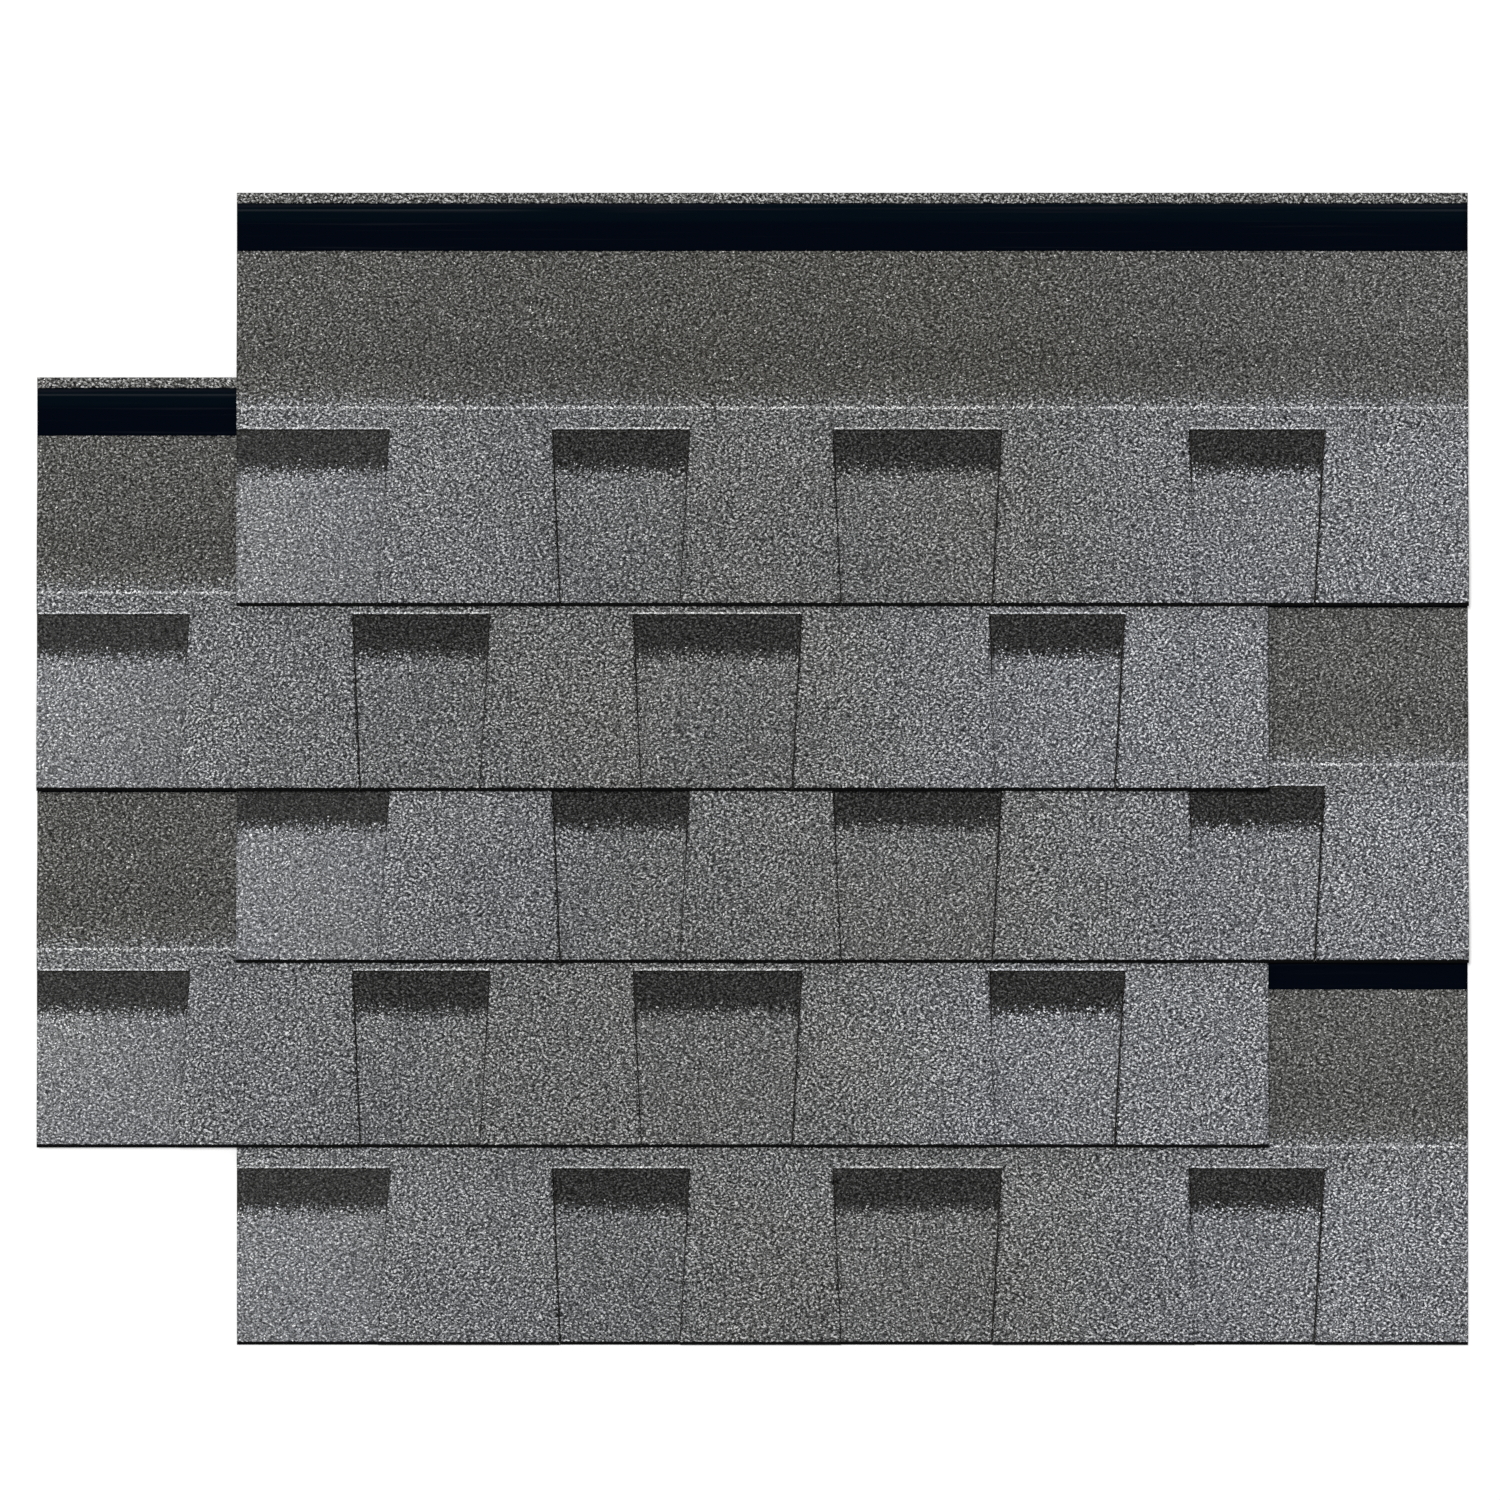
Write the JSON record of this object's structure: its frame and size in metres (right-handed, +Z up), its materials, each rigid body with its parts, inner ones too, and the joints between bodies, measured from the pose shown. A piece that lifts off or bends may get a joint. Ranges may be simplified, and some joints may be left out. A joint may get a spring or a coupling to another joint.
{
  "type": "lapped stack of laminated asphalt shingles",
  "caption": "Laminated asphalt shingles lapped in staggered courses, each a notched tab sheet on a backing strip with a black release tape across its headlap.",
  "frame": {"origin": "on the level surface that the shingles lie on, under the middle of their common footprint", "axes": "+X along the shingles towards their right ends, +Y up the slope from the butt edges to the headlaps, +Z up, out of the granule faces"},
  "size_m": [1.1622, 0.936, 0.0153],
  "materials": {
    "tab_granules": "matte",
    "backing_granules": "matte",
    "release_film": "satin",
    "sealant": "satin"
  },
  "bodies": {
    "root": {"course_1_sealant_bead": "sealant", "course_1_backing_strip": "backing_granules", "course_1_tab_sheet": "tab_granules", "course_1_release_tape": "release_film", "course_2_sealant_bead": "sealant", "course_2_backing_strip": "backing_granules", "course_2_tab_sheet": "tab_granules", "course_2_release_tape": "release_film", "course_3_sealant_bead": "sealant", "course_3_backing_strip": "backing_granules", "course_3_tab_sheet": "tab_granules", "course_3_release_tape": "release_film", "course_4_sealant_bead": "sealant", "course_4_backing_strip": "backing_granules", "course_4_tab_sheet": "tab_granules", "course_4_release_tape": "release_film", "course_5_sealant_bead": "sealant", "course_5_backing_strip": "backing_granules", "course_5_tab_sheet": "tab_granules", "course_5_release_tape": "release_film"}
  },
  "joints": []
}
